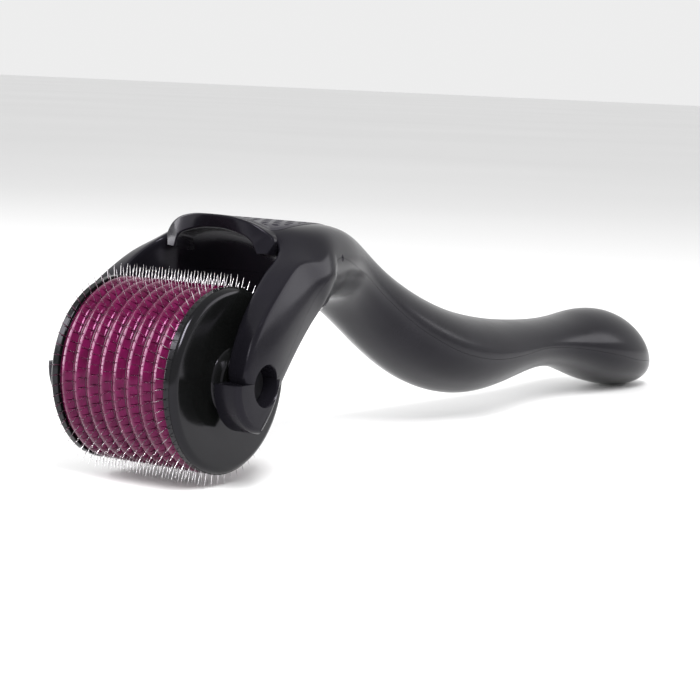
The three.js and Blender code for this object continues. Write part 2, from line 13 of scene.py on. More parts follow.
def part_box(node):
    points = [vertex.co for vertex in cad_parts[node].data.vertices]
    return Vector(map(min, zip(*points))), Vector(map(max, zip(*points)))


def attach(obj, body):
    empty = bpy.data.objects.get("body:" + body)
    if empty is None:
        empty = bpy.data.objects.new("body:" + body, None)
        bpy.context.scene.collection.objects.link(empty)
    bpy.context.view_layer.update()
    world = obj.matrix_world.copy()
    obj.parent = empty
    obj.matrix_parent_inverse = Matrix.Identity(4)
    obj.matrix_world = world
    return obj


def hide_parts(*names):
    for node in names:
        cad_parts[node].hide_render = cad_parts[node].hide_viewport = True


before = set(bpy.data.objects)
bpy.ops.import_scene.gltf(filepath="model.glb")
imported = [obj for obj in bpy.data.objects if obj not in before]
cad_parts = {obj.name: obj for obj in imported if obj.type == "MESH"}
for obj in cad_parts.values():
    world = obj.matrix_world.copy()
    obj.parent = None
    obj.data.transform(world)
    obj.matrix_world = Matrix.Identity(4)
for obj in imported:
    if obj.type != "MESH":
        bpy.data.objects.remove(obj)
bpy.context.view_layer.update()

MM = 0.001
SPINDLE_LOW, SPINDLE_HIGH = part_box("drum_spindle")
AXLE = (SPINDLE_LOW + SPINDLE_HIGH) / 2
PLACE = Matrix.Translation(AXLE) @ Matrix.Scale(MM, 4)

# ---------- dimensions shared with the CAD source ----------

DRUM_RADIUS = 11.0
NEEDLE_LENGTH = 1.5
NEEDLE_ROWS = 9
NEEDLES_PER_ROW = 60
ROW_PITCH = 1.925
END_CAP_FACE = 9.2
HUB_FACE = 10.6
HUB_RADIUS = 3.9
JOURNAL_RADIUS = 2.2
BOSS_RADIUS = 5.6
BOSS_INNER_FACE = 10.9
BOSS_OUTER_FACE = 14.3
BOSS_ROUND_END = math.radians(264)
BOSS_BACK_CONTROL = (2.6, -2.8)
BOSS_BACK_X = 3.15
BOSS_RIM = 0.8
BOSS_RIM_DEGREES = 15
BOSS_STEPS = 30
SEAM_LEVEL = 0.5
AXLE_HOLE_RADIUS = 2.3
PAD_THICKNESS = 0.7
PIN_HEAD_RADIUS = 2.4
PIN_HEAD_THICKNESS = 1.4
PIN_X = 19.8
PIN_Y = 5.0
PIN_FACE_Z = 7.35
PIN_TILT = math.radians(-8)

# ---------- dimensions of the finished surfaces ----------

SEAM_GAP = 0.035
PAD_GAP = 0.1
# Levels under the pad, inside the body, where its pocket and its cut start.
POCKET_LEVEL = 9.0
PAD_CUT_LEVEL = 5.0
PIN_GAP = 0.06
THRUST_RADIUS = 6.4
# Edges that turn more than this many degrees are shaded sharp.
SHELL_SHARP = 38
PAD_SHARP = 42
PLUG_SHARP = 40
DRUM_SHARP = 35
NEEDLE_SHARP = 50
BODY_LEVELS = 3
# The hidden bore of the drawn rings, caps and carriers.
RING_BORE = 7.45
# A height or width well past the whole roller, for cutters.
FAR = 60.0
# A radius below this counts as a point on the axis.
ON_AXIS = 1e-6

SECTION_POINTS = 20
QUARTER = SECTION_POINTS // 4
HALF = SECTION_POINTS // 2
ROUND_QUARTER = [(1, 0), (0.951, 0.309), (0.809, 0.588), (0.588, 0.809), (0.309, 0.951), (0, 1)]
HEAD_TOP_QUARTER = [(1, 0), (0.98, 0.45), (0.86, 0.86), (0.68, 1), (0.42, 0.99), (0, 0.98)]
HEAD_BOTTOM_QUARTER = [(1, 0), (0.96, 0.38), (0.84, 0.72), (0.66, 0.95), (0.4, 1), (0, 1)]
# Smoothing draws a ring in to 0.984 of its size, so the cage is made larger by this much.
CAGE_SWELL = 1 / 0.984
# Places on a ring, counted from the right side over the top: the span behind the lip, the span
# below it on the underside, and each side's points along the valley and the arm's back edge.
LIP_SPAN = (3, 4, 5, 6, 7)
UNDER_SPAN = (17, 16, 15, 14, 13)
VALLEYS = ((1, 0, 19), (9, 10, 11))
ARM_BACKS = ((0, 19), (10, 11))

# x, z of the middle, tilt in degrees, half width, height above, height below, boxiness
SECTIONS = [
    (123.4, -9.6, 0, 3.0, 2.7, 2.3, 0),
    (120.6, -8.6, 0, 5.8, 5.4, 3.9, 0),
    (114.5, -7.3, 2, 7.1, 7.4, 5.1, 0),
    (107.0, -6.1, 6, 7.1, 7.2, 4.8, 0),
    (99.6, -4.8, 8, 6.0, 5.1, 3.7, 0),
    (92.2, -3.8, 4, 5.1, 3.9, 3.2, 0),
    (84.8, -3.4, 0, 5.2, 3.8, 3.7, 0),
    (75.8, -3.7, -4, 6.1, 4.8, 4.9, 0),
    (66.9, -3.4, -12, 6.8, 5.8, 6.0, 0),
    (57.5, -1.6, -22, 6.8, 6.0, 5.7, 0),
    (48.0, 2.1, -28, 5.9, 5.6, 4.9, 0),
    (39.5, 6.7, -28, 5.4, 4.8, 3.8, 0.15),
    (32.5, 10.3, -20, 6.4, 4.6, 3.3, 0.5),
    (26.0, 12.1, -6, 9.0, 4.6, 4.1, 1),
    (20.5, 12.6, 8, 10.75, 5.15, 5.0, 1),
]
TAIL_TIP = (124.9, 0, -9.8)

# Rings at the throat, -Y half: side to top middle, then lower side to bottom middle. The first
# holds the valley behind the arm, the second the arm's back edge, the third the lip.
THROAT_RINGS = [
    (
        [(17.3, -11.9, 12.9), (16.9, -11.7, 14.9), (16.2, -10.6, 16.6), (14.8, -8.6, 17.3),
         (14.0, -6.0, 17.6), (13.8, 0, 17.85)],
        [(17.2, -11.6, 10.7), (17.9, -10.3, 8.4), (18.4, -8.7, 7.2), (18.8, -6.2, 6.9), (18.8, 0, 6.9)],
    ),
    (
        [(15.9, -12.9, 12.5), (15.2, -12.4, 14.2), (13.7, -11.2, 15.5), (12.2, -8.4, 16.9),
         (12.0, -5.8, 17.6), (12, 0, 17.95)],
        [(15.9, -12.6, 10.5), (16.7, -11.0, 7.6), (16.8, -9.1, 6.6), (17.4, -6.2, 6.3), (17.4, 0, 6.3)],
    ),
    (
        [(13.0, -13.4, 11.9), (12.3, -12.5, 13.8), (11.0, -11.2, 14.9), (10.2, -8.3, 16.0),
         (10.2, -5.6, 17.4), (10.2, 0, 18.0)],
        [(14.3, -13.2, 9.8), (14.8, -11.6, 7.7), (14, -9.4, 7), (15.4, -6.2, 5.9), (15.6, 0, 5.9)],
    ),
]
# The roof of the throat's recess front and back, and the foot of its wall.
WALL_ROWS = [
    [(10.2, -7.9, 14.6), (10.3, -5.5, 16.0), (10.3, 0, 16.8)],
    [(12.0, -8.5, 13.0), (12.4, -5.6, 14.8), (12.4, 0, 15.6)],
    [(13.7, -9.6, 8.6), (14.9, -6.2, 7.4), (14.9, 0, 7.4)],
]
# The visor-like lip in front of the recess, from its middle out to a foot: its top edge, then the
# edge underneath (x, y, z).
LIP_TOP = [
    (6.9, 0, 18.75), (7.0, 2.2, 18.68), (7.4, 3.9, 18.42), (7.9, 5.4, 18.0), (8.5, 6.8, 17.25),
    (9.1, 7.8, 16.4), (9.0, 8.0, 15.6), (8.5, 7.6, 14.4),
]
LIP_UNDER = [
    (8.0, 0, 16.95), (7.95, 1.6, 16.88), (7.9, 3.2, 16.6), (7.85, 4.5, 16.25), (7.9, 5.3, 15.85),
    (8.0, 5.7, 15.3), (8.1, 5.9, 14.8), (8.2, 6.1, 14.3),
]
LIP_BACK = 13.2
LIP_FALL = 0.9
LIP_STEPS = 5
LIP_EDGE_ROUND = 0.28
LIP_EDGE_STEPS = 4

# Arm rings: front edge, front edge on the inner side, back edge, back edge on the inner side
# (x, z), then the y of the inner face, the front ridge and the outer face.
ARM_RINGS = [
    ((9.0, 13.9), (7.8, 14.3), (12.6, 7.5), (13.2, 6.3), 9.5, 12.1, 13.5),
    ((6.2, 12.5), (4.8, 12.8), (9.6, 5.3), (10.0, 4.6), 9.8, 12.7, 13.9),
    ((2.6, 10.2), (2.2, 10.4), (5.9, 1.9), (6.1, 1.6), 10.1, 13.4, 14.4),
    ((-1.2, 7.2), (-0.9, 7.2), (3.6, -0.5), (3.6, -0.5), 10.5, 13.9, 14.7),
    ((-3.8, 3.7), (-2.8, 3.9), (1.7, -3.0), (1.7, -3.0), 10.8, 14.1, 14.6),
    ((-4.5, 0.6), (-3.8, 0.6), (0.1, -5.0), (0.1, -5.0), 10.9, 14.1, 14.5),
]
ARM_BACK_ROUND = 1.0
ARM_TIP_DROP = (-0.3, 0, -0.6)
# How sharp the cage's marked edges stay: 0.32 is one smoothing step, 0.45 is two.
LIP_SHARPNESS = 0.42
VALLEY_SHARPNESS = 0.5
# Points of an arm ring that run on as edges, with how sharp they stay.
ARM_CORNERS = [(1, 0.42), (3, 0.36), (7, 0.36), (9, 0.42)]
# The faces that close an arm's end, as points of its last ring.
ARM_END_FACES = ((0, 9, 8), (8, 7, 6), (6, 5, 4), (4, 3, 2), (2, 1, 0))

# The seam between the shells, from the arm's front to the tail (x, z).
SEAM_POINTS = [
    (-12, 0.5), (-6, 0.5), (-0.8, 0.5), (1.8, 0.6), (3.7, 1.7), (5.3, 3.6), (8.2, 7.0), (11.4, 9.9),
    (15.4, 12.6), (18.6, 13.7), (22, 13.2), (26, 12.1), (32.5, 10.2), (39.5, 6.6), (48, 2.1),
    (57.5, -1.6), (66.9, -3.4), (75.8, -3.7), (84.8, -3.4), (92.2, -3.9), (99.6, -4.9), (107, -6.2),
    (114.5, -7.6), (130, -9),
]
# The small round pit at the top of each valley behind an arm.
PIT_X, PIT_Y, PIT_Z = 19.8, 11.5, 13.7
PIT_RADIUS = 0.7
PAD_MIDDLE = 19.8
# Half of the thumb pad's outline, front to back (x, y).
PAD_OUTLINE = [
    (8.3, 0), (8.7, 3.2), (9.9, 5.7), (12, 7), (15, 7.1), (20, 6.5), (25, 5.1), (29.4, 2.9), (30.6, 0),
]


# ---------- mesh helpers ----------

def mesh_object(name, points, faces, materials=()):
    mesh = bpy.data.meshes.new(name)
    mesh.from_pydata([tuple(p) for p in points], [], faces)
    mesh.validate()
    mesh.update()
    made = bpy.data.objects.new(name, mesh)
    bpy.context.scene.collection.objects.link(made)
    for material in materials:
        mesh.materials.append(material)
    return made


def applied(target):
    """The object's modifiers made part of its mesh."""
    graph = bpy.context.evaluated_depsgraph_get()
    graph.update()
    mesh = bpy.data.meshes.new_from_object(target.evaluated_get(graph))
    target.modifiers.clear()
    target.data = mesh
    return target


def combine(target, cutter, operation):
    modifier = target.modifiers.new(operation.lower(), "BOOLEAN")
    modifier.operation = operation
    modifier.solver = "EXACT"
    modifier.object = cutter
    return applied(target)


def copy_of(source, name, shift=(0, 0, 0)):
    made = bpy.data.objects.new(name, source.data.copy())
    made.data.transform(Matrix.Translation(shift))
    bpy.context.scene.collection.objects.link(made)
    return made


def discard(*objects):
    for item in objects:
        bpy.data.objects.remove(item)


def face_outwards(target):
    work = bmesh.new()
    work.from_mesh(target.data)
    bmesh.ops.recalc_face_normals(work, faces=work.faces)
    work.to_mesh(target.data)
    work.free()
    return target


def smooth(target, sharp_degrees):
    target.data.polygons.foreach_set("use_smooth", [True] * len(target.data.polygons))
    target.data.set_sharp_from_angle(angle=math.radians(sharp_degrees))
    return target


def placed(target, body, slot, *nodes):
    """Moves a finished piece from millimetres about the axle to the row frame, and hands it over."""
    target.data.transform(PLACE)
    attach(target, body)
    if nodes:
        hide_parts(*nodes)
    return target


def mirror_y(point):
    return (point[0], -point[1], point[2])


def mix(a, b, amount):
    return tuple(p * (1 - amount) + q * amount for p, q in zip(a, b))


def spline(points, per_segment, closed=False):
    """A uniform Catmull-Rom curve through the points."""
    count = len(points)
    found = []
    for i in range(count if closed else count - 1):
        if closed:
            p0, p1, p2, p3 = (np.array(points[(i + k - 1) % count]) for k in range(4))
        else:
            p0, p1, p2, p3 = (np.array(points[min(max(i + k - 1, 0), count - 1)]) for k in range(4))
        for j in range(per_segment):
            t = j / per_segment
            found.append(0.5 * (
                2 * p1 + (p2 - p0) * t + (2 * p0 - 5 * p1 + 4 * p2 - p3) * t * t
                + (3 * p1 - p0 - 3 * p2 + p3) * t ** 3
            ))
    if not closed:
        found.append(np.array(points[-1]))
    return [tuple(p) for p in found]


def prism(name, outline, low, high, axis, materials=()):
    """An outline of (a, b) pairs pulled along Y (a, b are x, z) or Z (a, b are x, y)."""
    count = len(outline)
    if axis == "Y":
        points = [(a, level, b) for level in (low, high) for a, b in outline]
    else:
        points = [(a, b, level) for level in (low, high) for a, b in outline]
    faces = [list(range(count)), list(range(2 * count - 1, count - 1, -1))]
    faces += [[i, i + count, (i + 1) % count + count, (i + 1) % count] for i in range(count)]
    return face_outwards(mesh_object(name, points, faces, materials))


def turned(name, profile, segments, materials=(), axis="Y"):
    """A closed (radius, height) profile turned round the Y or Z axis. Radius 0 closes on the axis."""
    points, rings = [], []
    for radius, height in profile:
        if radius < ON_AXIS:
            points.append((0, height, 0))
            rings.append([len(points) - 1] * segments)
            continue
        ring = []
        for k in range(segments):
            angle = 2 * math.pi * k / segments
            points.append((radius * math.cos(angle), height, radius * math.sin(angle)))
            ring.append(len(points) - 1)
        rings.append(ring)
    faces = []
    pairs = list(zip(rings, rings[1:]))
    if profile[0][0] > ON_AXIS:
        pairs.append((rings[-1], rings[0]))
    for a, b in pairs:
        for k in range(segments):
            n = (k + 1) % segments
            face = list(dict.fromkeys([a[k], a[n], b[n], b[k]]))
            if len(face) > 2:
                faces.append(face)
    if axis == "Z":
        points = [(x, -z, y) for x, y, z in points]
    return face_outwards(mesh_object(name, points, faces, materials))


# ---------- materials ----------

# The part of a noise's range that a finish's tones and polish are spread over.
NOISE_LOW, NOISE_HIGH = 0.3, 0.7


class Finish:
    """A Principled material with small helpers for its procedural detail."""

    def __init__(self, name, **sockets):
        self.material = bpy.data.materials.new(name)
        self.material.use_nodes = True
        self.tree = self.material.node_tree
        self.shader = next(n for n in self.tree.nodes if n.type == "BSDF_PRINCIPLED")
        for socket, value in sockets.items():
            self.shader.inputs[socket.replace("_", " ")].default_value = value
        self.coords = self.tree.nodes.new("ShaderNodeTexCoord").outputs["Object"]
        self.height = None

    def noise(self, scale, detail=4.0, roughness=0.55):
        node = self.tree.nodes.new("ShaderNodeTexNoise")
        node.inputs["Scale"].default_value = scale
        node.inputs["Detail"].default_value = detail
        node.inputs["Roughness"].default_value = roughness
        self.tree.links.new(self.coords, node.inputs["Vector"])
        return node.outputs["Fac"]

    def tones(self, factor, dark, light):
        """The base colour, between two tones."""
        node = self.tree.nodes.new("ShaderNodeValToRGB")
        stops = ((NOISE_LOW, dark), (NOISE_HIGH, light))
        for element, (position, tone) in zip(node.color_ramp.elements, stops):
            element.position = position
            element.color = (*tone, 1)
        self.tree.links.new(factor, node.inputs["Fac"])
        self.tree.links.new(node.outputs["Color"], self.shader.inputs["Base Color"])

    def polish(self, factor, smoothest, roughest):
        """The roughness, between two values."""
        node = self.tree.nodes.new("ShaderNodeMapRange")
        node.inputs["From Min"].default_value = NOISE_LOW
        node.inputs["From Max"].default_value = NOISE_HIGH
        node.inputs["To Min"].default_value = smoothest
        node.inputs["To Max"].default_value = roughest
        self.tree.links.new(factor, node.inputs["Value"])
        self.tree.links.new(node.outputs["Result"], self.shader.inputs["Roughness"])

    def bump(self, factor, distance):
        """Adds relief to what is already there."""
        node = self.tree.nodes.new("ShaderNodeBump")
        node.inputs["Strength"].default_value = 1.0
        node.inputs["Distance"].default_value = distance
        self.tree.links.new(factor, node.inputs["Height"])
        if self.height is not None:
            self.tree.links.new(self.height, node.inputs["Normal"])
        self.height = node.outputs["Normal"]
        self.tree.links.new(self.height, self.shader.inputs["Normal"])


def black_plastic(name, dark, light, roughness, specular, ripple):
    """Moulded black plastic: a faint tone change, uneven polish, and the mould's slow ripple."""
    made = Finish(name, IOR=1.45, Specular_IOR_Level=specular, Specular_Tint=(0.9, 0.86, 1.0, 1.0))
    made.tones(made.noise(90, 3), dark, light)
    made.polish(made.noise(260, 5, 0.6), *roughness)
    made.bump(made.noise(120, 2), 0.00003 * ripple)
    made.bump(made.noise(6000, 2), 0.0000025)
    return made.material


GLOSS = black_plastic(
    "gloss black plastic", dark=(0.0045, 0.0042, 0.0058), light=(0.0075, 0.007, 0.0095),
    roughness=(0.15, 0.22), specular=0.14, ripple=1.0)
CAP_BLACK = black_plastic(
    "end cap black plastic", dark=(0.0025, 0.0026, 0.0026), light=(0.0045, 0.0048, 0.0047),
    roughness=(0.1, 0.16), specular=0.22, ripple=0.7)
CUT_BLACK = black_plastic(
    "seam faces", dark=(0.003, 0.003, 0.003), light=(0.006, 0.006, 0.007),
    roughness=(0.4, 0.5), specular=0.2, ripple=0.5)
SPINDLE = black_plastic(
    "spindle grey plastic", dark=(0.008, 0.008, 0.009), light=(0.016, 0.016, 0.018),
    roughness=(0.38, 0.5), specular=0.24, ripple=1.0)
PAD_BLACK = black_plastic(
    "thumb pad plastic", dark=(0.014, 0.013, 0.017), light=(0.022, 0.021, 0.026),
    roughness=(0.3, 0.4), specular=0.3, ripple=1.0)


def magenta_plastic():
    """Clear magenta plastic, a little cloudy inside."""
    made = Finish(
        "translucent magenta plastic", IOR=1.49, Transmission_Weight=0.1, Specular_IOR_Level=0.3,
        Specular_Tint=(1.0, 0.42, 0.78, 1.0),
    )
    made.tones(made.noise(700, 4, 0.7), (0.036, 0.0002, 0.011), (0.09, 0.0004, 0.033))
    made.polish(made.noise(800, 4), 0.09, 0.16)
    made.bump(made.noise(500, 2), 0.00002)
    return made.material


def carrier_plastic():
    """The dark plastic that holds each row of needles, seen down in the joints."""
    made = Finish("needle carrier plastic", IOR=1.48, Coat_Weight=0.2, Coat_Roughness=0.15)
    made.tones(made.noise(500, 3), (0.030, 0.002, 0.014), (0.06, 0.004, 0.028))
    made.polish(made.noise(900, 4), 0.3, 0.45)
    return made.material


def needle_steel():
    """Polished steel with slightly uneven tone and polish."""
    made = Finish("polished needle steel", Metallic=1.0)
    made.tones(made.noise(3000, 2), (0.5, 0.48, 0.5), (0.7, 0.68, 0.7))
    made.polish(made.noise(5000, 3), 0.16, 0.3)
    return made.material


MAGENTA = magenta_plastic()
CARRIER = carrier_plastic()
STEEL = needle_steel()


# ---------- handle: the smooth body ----------

def handle_section(x, z, tilt, width, above, below, boxy):
    """A ring round the handle: each quarter is between round and boxy, stretched to its size."""
    angle = math.radians(tilt)
    points = []
    for k in range(SECTION_POINTS):
        is_top = k <= HALF
        across = k if is_top else SECTION_POINTS - k
        step = min(across, HALF - across)
        side = -1 if across < QUARTER else 1
        quarter = HEAD_TOP_QUARTER if is_top else HEAD_BOTTOM_QUARTER
        out, up = mix(ROUND_QUARTER[step], quarter[step], boxy)
        height = (above if is_top else -below) * up * CAGE_SWELL
        points.append((x - math.sin(angle) * height, side * width * out * CAGE_SWELL,
                       z + math.cos(angle) * height))
    return points


def throat_section(top, bottom):
    """A whole ring from its right half."""
    points = [None] * SECTION_POINTS
    for i, point in enumerate(top):
        points[i] = point
        points[HALF - i] = mirror_y(point)
    for i, point in enumerate(bottom):
        points[SECTION_POINTS - 1 - i] = point
        points[HALF + 1 + i] = mirror_y(point)
    return points


def arm_section(front, inner_front, back, inner_back, inner, ridge, outer):
    """Ten points round an arm: outer side, over the ridge to the inner face, and round the back."""
    middle = (inner + outer) / 2

    def at(y, xz):
        return (xz[0], -y, xz[1])

    return [
        at(outer, mix(front, back, 0.5)),
        at(ridge, front),
        at(middle, mix(front, inner_front, 0.5)),
        at(inner, inner_front),
        at(inner, mix(inner_front, inner_back, 0.25)),
        at(inner, mix(inner_front, inner_back, 0.5)),
        at(inner, mix(inner_front, inner_back, 0.75)),
        at(inner, inner_back),
        at(middle, mix(back, inner_back, 0.5)),
        at(outer - ARM_BACK_ROUND, back),
    ]


def handle_cage():
    """The coarse cage that the handle is smoothed from: rings from the tail to the throat, the
    throat's wall, and a run of rings down each arm."""
    points, faces, creases = [], [], []

    def add(found):
        points.extend(found)
        return list(range(len(points) - len(found), len(points)))

    def crease(ring, sharpness):
        creases.extend((a, b, sharpness) for a, b in zip(ring, ring[1:]))

    def strip(a, b, flip=False):
        for k in range(len(a)):
            n = (k + 1) % len(a)
            face = [a[k], b[k], b[n], a[n]]
            faces.append(face[::-1] if flip else face)

    rings = [add(handle_section(*section)) for section in SECTIONS]
    rings += [add(throat_section(*halves)) for halves in THROAT_RINGS]
    tip, = add([TAIL_TIP])
    for k in range(0, SECTION_POINTS, 2):
        faces.append([tip, rings[0][k], rings[0][k + 1], rings[0][(k + 2) % SECTION_POINTS]])
    for a, b in zip(rings, rings[1:]):
        strip(a, b)
    front = rings[-1]
    walls = [add([*row, mirror_y(row[1]), mirror_y(row[0])]) for row in WALL_ROWS]
    rows = [[front[k] for k in LIP_SPAN], *walls, [front[k] for k in UNDER_SPAN]]
    crease(rows[0], LIP_SHARPNESS)
    crease(rows[1], LIP_SHARPNESS)
    for valley, arm_back in zip(VALLEYS, ARM_BACKS):
        crease([rings[-3][k] for k in valley], VALLEY_SHARPNESS)
        crease([rings[-2][k] for k in arm_back], VALLEY_SHARPNESS)
    for a, b in zip(rows, rows[1:]):
        faces.extend([a[i], b[i], b[i + 1], a[i + 1]] for i in range(len(LIP_SPAN) - 1))
    right_edge = [row[0] for row in walls]
    left_edge = [row[-1] for row in walls]
    roots = [
        [*(front[k] for k in (0, 1, 2, 3)), *right_edge, *(front[k] for k in (17, 18, 19))],
        [*(front[k] for k in (10, 9, 8, 7)), *left_edge, *(front[k] for k in (13, 12, 11))],
    ]
    for ring, flip in zip(roots, (False, True)):
        for data in ARM_RINGS:
            section = arm_section(*data)
            after = add([mirror_y(p) for p in section] if flip else section)
            strip(ring, after, flip)
            for corner, sharpness in ARM_CORNERS:
                creases.append((ring[corner], after[corner], sharpness))
            ring = after
        middle = np.mean([points[i] for i in ring], axis=0) + np.array(ARM_TIP_DROP)
        end, = add([tuple(middle)])
        for corners in ARM_END_FACES:
            face = [end, *(ring[k] for k in corners)]
            faces.append(face[::-1] if flip else face)
    return points, faces, creases


def smooth_body():
    """The handle's whole outer skin, with the cage's marked edges kept fairly sharp."""
    points, faces, creases = handle_cage()
    body = mesh_object("handle_body", points, faces, [GLOSS])
    sharpness = {frozenset((a, b)): value for a, b, value in creases}
    layer = body.data.attributes.new("crease_edge", "FLOAT", "EDGE")
    for edge in body.data.edges:
        layer.data[edge.index].value = sharpness.get(frozenset(edge.vertices), 0.0)
    modifier = body.modifiers.new("smooth", "SUBSURF")
    modifier.levels = modifier.render_levels = BODY_LEVELS
    return face_outwards(applied(body))


def lip_visor():
    """The lip: a curved strip between its two front edges, sinking back into the body's top."""
    outer = spline(LIP_TOP, LIP_STEPS)
    under = spline(LIP_UNDER, LIP_STEPS)
    outer = [mirror_y(p) for p in outer[:0:-1]] + outer
    under = [mirror_y(p) for p in under[:0:-1]] + under
    count = len(outer)
    points = outer + [(LIP_BACK, y, z - LIP_FALL) for _, y, z in outer]
    points += under + [(LIP_BACK, y, z - LIP_FALL) for _, y, z in under]
    loops = [range(k * count, (k + 1) * count) for k in range(4)]
    faces = []
    for a, b in ((0, 1), (1, 3), (3, 2), (2, 0)):
        for i in range(count - 1):
            faces.append([loops[a][i], loops[a][i + 1], loops[b][i + 1], loops[b][i]])
    for end in (0, -1):
        faces.append([loops[k][end] for k in (0, 1, 3, 2)])
    made = face_outwards(mesh_object("lip", points, faces, [GLOSS]))
    work = bmesh.new()
    work.from_mesh(made.data)
    work.verts.ensure_lookup_table()
    front = {*loops[0], *loops[2]}
    edges = []
    for edge in work.edges:
        a, b = (vertex.index for vertex in edge.verts)
        if a in front and b in front and abs(a - b) == 1:
            edges.append(edge)
    bmesh.ops.bevel(
        work, geom=edges, offset=LIP_EDGE_ROUND, segments=LIP_EDGE_STEPS, profile=0.5, affect="EDGES")
    work.to_mesh(made.data)
    work.free()
    return face_outwards(made)


def seam_region(is_upper):
    """Everything above or below the seam, less half of its gap."""
    shift = SEAM_GAP / 2 if is_upper else -SEAM_GAP / 2
    line = [(x, z + shift) for x, z in spline(SEAM_POINTS, 8)]
    far = FAR if is_upper else -FAR
    line += [(line[-1][0], far), (line[0][0], far)]
    return prism("seam_region", line, -FAR / 2, FAR / 2, "Y", [CUT_BLACK])


def rounded_boss(side):
    """A round boss below the seam, with its rim rounded over on the outer side."""
    top = SEAM_LEVEL - SEAM_GAP / 2
    first = math.pi - math.asin(top / BOSS_RADIUS)
    outline = []
    for i in range(BOSS_STEPS + 1):
        angle = first + (BOSS_ROUND_END - first) * i / BOSS_STEPS
        outline.append((BOSS_RADIUS * math.cos(angle), BOSS_RADIUS * math.sin(angle)))
    start, end = outline[-1], (BOSS_BACK_X, top)
    for i in range(1, BOSS_STEPS + 1):
        t = i / BOSS_STEPS
        outline.append(mix(mix(start, BOSS_BACK_CONTROL, t), mix(BOSS_BACK_CONTROL, end, t), t))
    count = len(outline)
    inwards = [(1.0, 0.0)]
    for before, after in zip(outline, outline[2:]):
        run = Vector((after[0] - before[0], after[1] - before[1])).normalized()
        inwards.append((-run.y, run.x))
    inwards.append((-1.0, 0.0))
    layers = [(BOSS_INNER_FACE, 0.0)]
    for degrees in range(0, 91, BOSS_RIM_DEGREES):
        angle = math.radians(degrees)
        level = BOSS_OUTER_FACE - BOSS_RIM * (1 - math.sin(angle))
        layers.append((level, BOSS_RIM * (1 - math.cos(angle))))
    points, faces = [], []
    for y, inset in layers:
        for (x, z), (a, b) in zip(outline, inwards):
            points.append((x + inset * a, side * y, min(z + inset * b, top)))
    for layer in range(len(layers) - 1):
        low, high = layer * count, (layer + 1) * count
        for i in range(count):
            n = (i + 1) % count
            faces.append([low + i, low + n, high + n, high + i])
    faces.append(list(range(count)))
    faces.append(list(range(len(points) - count, len(points))))
    return face_outwards(mesh_object("boss", points, faces, [GLOSS]))


def pin_transform(side):
    """From a plug drawn about its own axis to its place in the underside."""
    return (Matrix.Translation((PIN_X, side * PIN_Y, PIN_FACE_Z))
            @ Matrix.Rotation(PIN_TILT, 4, "Y"))


def pad_outline(grow):
    """The pad's whole outline, moved out by a distance."""
    half = []
    for i, (x, y) in enumerate(PAD_OUTLINE):
        is_end = i in (0, len(PAD_OUTLINE) - 1)
        half.append((x - grow if x < PAD_MIDDLE else x + grow, 0 if is_end else y + grow))
    other = [(x, -y) for x, y in half[-2:0:-1]]
    return spline(half + other, 10, closed=True)


def axle_hole_cutter():
    """The axle hole, opening a little at the arm's outer face."""
    start, face, radius = END_CAP_FACE - 1, BOSS_OUTER_FACE, AXLE_HOLE_RADIUS
    return turned("hole", [
        (0, start), (radius, start), (radius, face - 0.35), (radius + 0.12, face - 0.1),
        (radius + 0.45, face + 0.3), (radius + 0.45, face + 3), (0, face + 3),
    ], 96, [CUT_BLACK])


def thrust_cutter():
    """Clears each arm's inner side back to the flat face that the drum's hub runs against."""
    start = END_CAP_FACE - 1.2
    profile = [(0, start), (THRUST_RADIUS, start), (THRUST_RADIUS, BOSS_INNER_FACE), (0, BOSS_INNER_FACE)]
    return turned("thrust", profile, 96, [CUT_BLACK])


def pocket_cutter(side):
    radius = PIN_HEAD_RADIUS + PIN_GAP
    made = turned("pocket", [(0, -3), (radius, -3), (radius, 5), (0, 5)], 72, [CUT_BLACK], axis="Z")
    made.data.transform(pin_transform(side))
    return made


def pit_cutter(side):
    """A ball that leaves the small pit at the top of a valley."""
    turns = [math.radians(d) for d in range(-75, 90, 15)]
    arc = [(PIT_RADIUS * math.cos(a), PIT_RADIUS * math.sin(a)) for a in turns]
    made = turned("pit", [(0, -PIT_RADIUS), *arc, (0, PIT_RADIUS)], 32, [CUT_BLACK])
    made.data.transform(Matrix.Translation((PIT_X, side * PIT_Y, PIT_Z)))
    return made


def machined(shell):
    """Takes the axle holes, the thrust faces, the plugs' pockets and the pits out of a shell."""
    for side in (-1, 1):
        hole, thrust = axle_hole_cutter(), thrust_cutter()
        if side < 0:
            for cutter in (hole, thrust):
                cutter.data.transform(Matrix.Scale(-1, 4, (0, 1, 0)))
                face_outwards(cutter)
        for cutter in (hole, thrust, pocket_cutter(side), pit_cutter(side)):
            combine(shell, cutter, "DIFFERENCE")
            discard(cutter)
    return shell


def make_shells(body):
    """The body parted along the seam: the upper shell with a pocket for the thumb pad, and the
    lower shell with its two bosses."""
    upper = copy_of(body, "shell_upper")
    region = seam_region(True)
    combine(upper, region, "INTERSECT")
    discard(region)
    pocket = prism("pad_pocket", pad_outline(PAD_GAP), POCKET_LEVEL, FAR / 2, "Z", [CUT_BLACK])
    lowered = copy_of(body, "lowered", (0, 0, -PAD_THICKNESS - PAD_GAP))
    combine(pocket, lowered, "DIFFERENCE")
    combine(upper, pocket, "DIFFERENCE")
    discard(pocket, lowered)

    lower = copy_of(body, "shell_lower")
    region = seam_region(False)
    combine(lower, region, "INTERSECT")
    discard(region)
    for side in (-1, 1):
        boss = rounded_boss(side)
        combine(lower, boss, "UNION")
        discard(boss)
    return [smooth(machined(shell), SHELL_SHARP) for shell in (upper, lower)]


# ---------- handle: thumb pad and plugs ----------

DIMPLE_PITCH = 1.65
DIMPLE_RADIUS = 0.52
DIMPLE_DEPTH = 0.4
# How flat a dimple's floor is: 2 is a bowl.
DIMPLE_FLATNESS = 2.5
